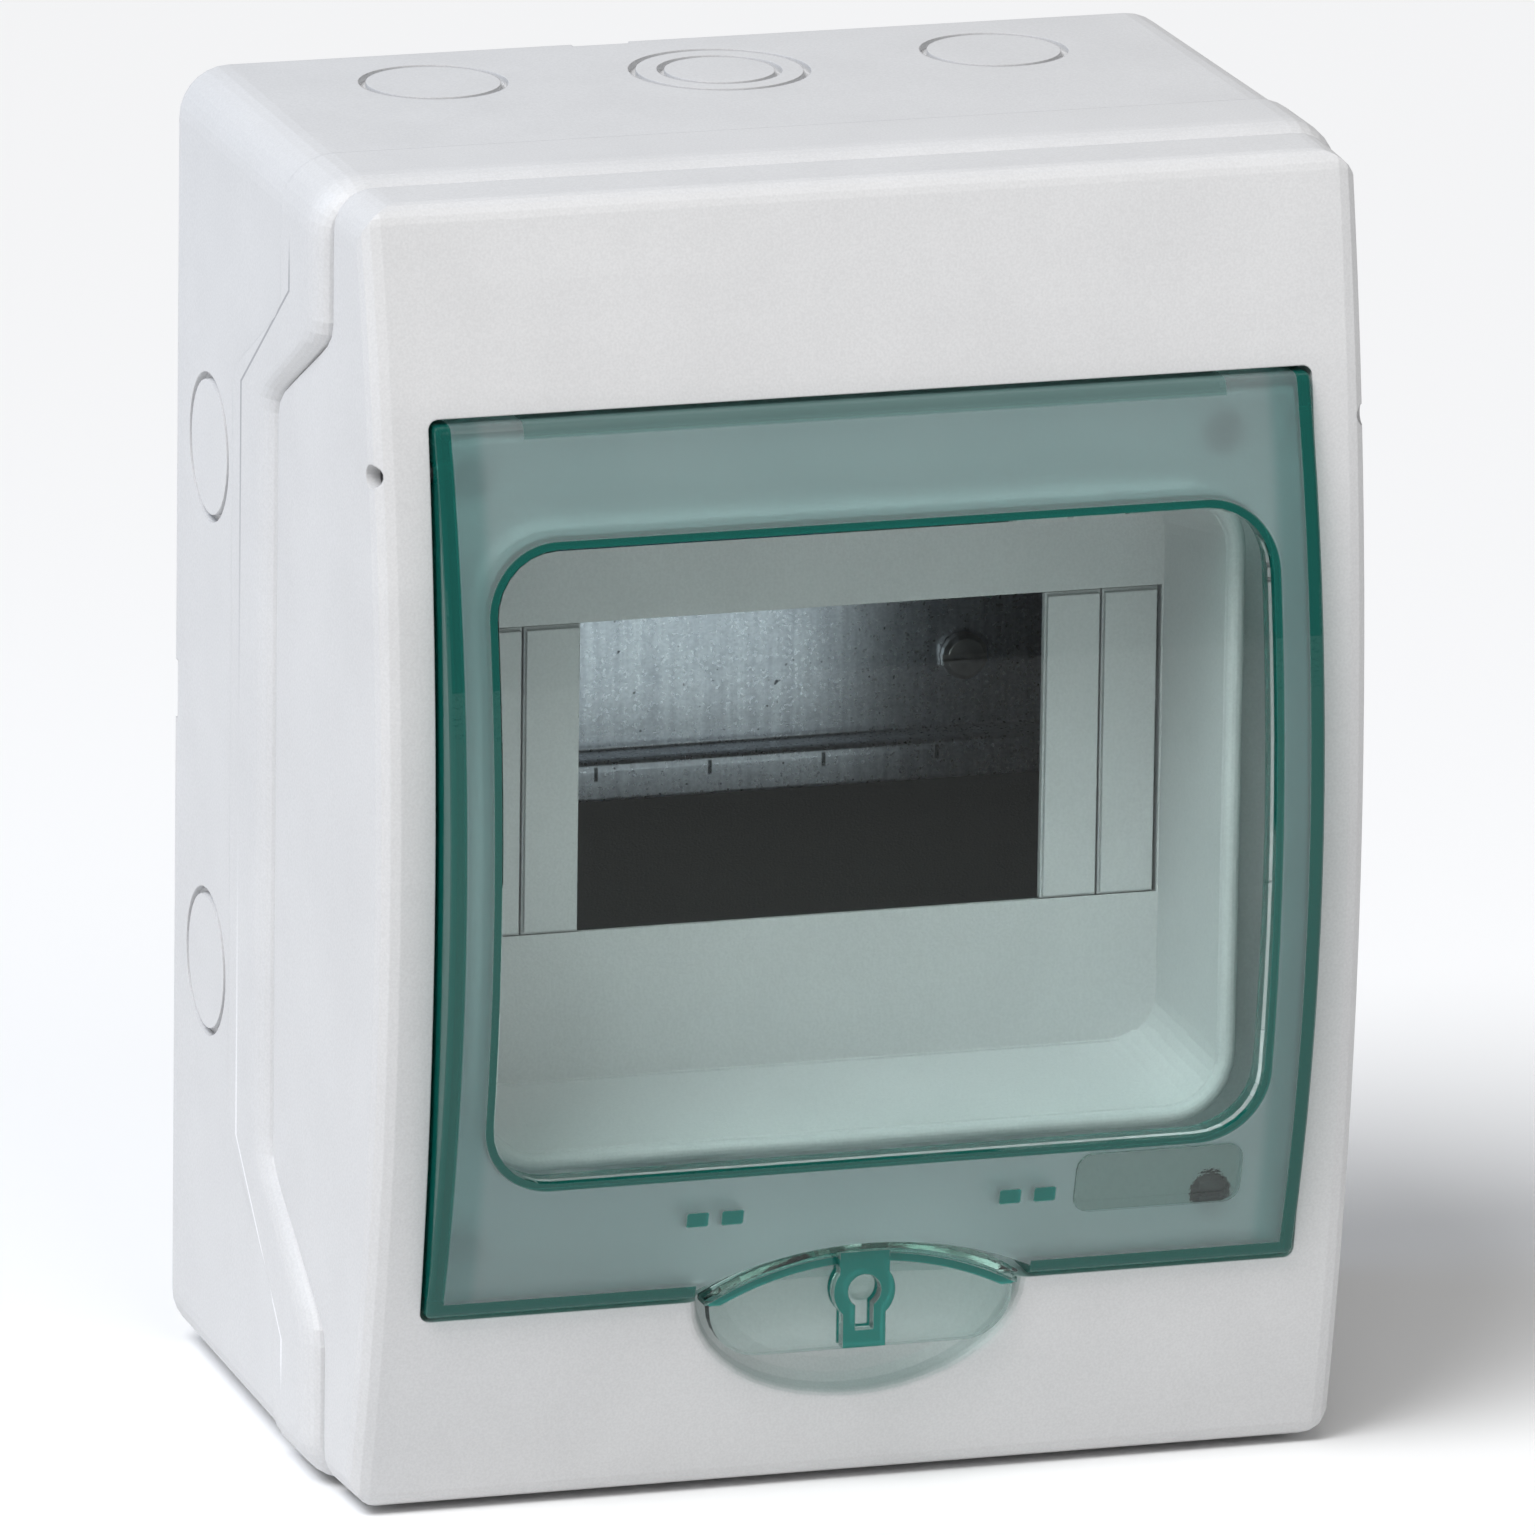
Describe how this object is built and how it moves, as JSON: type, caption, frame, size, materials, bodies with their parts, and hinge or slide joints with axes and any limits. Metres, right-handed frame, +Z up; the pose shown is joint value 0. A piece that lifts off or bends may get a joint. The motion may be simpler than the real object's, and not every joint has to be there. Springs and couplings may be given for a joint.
{
  "type": "load center enclosure",
  "caption": "Wall-mounted plastic load centre: deep base with rail and terminals, bulged lift-off cover, see-through flap door hinged at the top.",
  "frame": {"origin": "centre of the rear face, which sits on the wall", "axes": "+Z up, front towards -Y, +X to the right seen from the front"},
  "size_m": [0.159, 0.112, 0.2],
  "materials": {
    "housing_plastic": "fine matt texture",
    "door_plastic": "green, see-through, frosted face",
    "clear_plastic": "clear with a green cast",
    "seal_rubber": "matt",
    "zinc_steel": "galvanised",
    "screw_steel": "zinc plated",
    "terminal_brass": "satin",
    "carrier_plastic": "satin"
  },
  "bodies": {
    "base": {"base_shell": "housing_plastic", "rim_seal": "seal_rubber", "din_rail": "zinc_steel", "rail_screw_left": "screw_steel", "rail_screw_right": "screw_steel", "terminal_carrier": "carrier_plastic", "terminal_bar_1": "terminal_brass", "terminal_screw_1_1": "screw_steel", "terminal_screw_1_2": "screw_steel", "terminal_screw_1_3": "screw_steel", "terminal_screw_1_4": "screw_steel", "terminal_bar_2": "terminal_brass", "terminal_screw_2_1": "screw_steel", "terminal_screw_2_2": "screw_steel", "terminal_screw_2_3": "screw_steel", "terminal_screw_2_4": "screw_steel"},
    "cover": {"cover_shell": "housing_plastic", "blank_strip_1": "housing_plastic", "blank_strip_2": "housing_plastic", "blank_strip_3": "housing_plastic", "blank_strip_4": "housing_plastic", "hinge_pin_left": "screw_steel", "hinge_pin_right": "screw_steel"},
    "door": {"door_frame": "door_plastic", "door_window": "clear_plastic"},
    "screw_1": {"cover_screw_1": "screw_steel"},
    "screw_2": {"cover_screw_2": "screw_steel"},
    "screw_3": {"cover_screw_3": "screw_steel"},
    "screw_4": {"cover_screw_4": "screw_steel"}
  },
  "joints": [
    {"name": "cover_lift", "type": "slide", "parent": "base", "child": "cover", "axis": [0, -1, 0], "range_m": [0, 0.12]},
    {"name": "door_hinge", "type": "hinge", "parent": "cover", "child": "door", "pos_m": [0, -0.0985, 0.0606], "axis": [-1, 0, 0], "range_deg": [0, 110]},
    {"name": "cover_screw_turn_1", "type": "hinge", "parent": "cover", "child": "screw_1", "pos_m": [-0.0584, -0.085, 0.0562], "axis": [0, -1, 0], "range_deg": [-90, 0]},
    {"name": "cover_screw_turn_2", "type": "hinge", "parent": "cover", "child": "screw_2", "pos_m": [0.0584, -0.085, 0.0562], "axis": [0, -1, 0], "range_deg": [-90, 0]},
    {"name": "cover_screw_turn_3", "type": "hinge", "parent": "cover", "child": "screw_3", "pos_m": [-0.0584, -0.085, -0.0609], "axis": [0, -1, 0], "range_deg": [-90, 0]},
    {"name": "cover_screw_turn_4", "type": "hinge", "parent": "cover", "child": "screw_4", "pos_m": [0.0584, -0.085, -0.0609], "axis": [0, -1, 0], "range_deg": [-90, 0]}
  ]
}
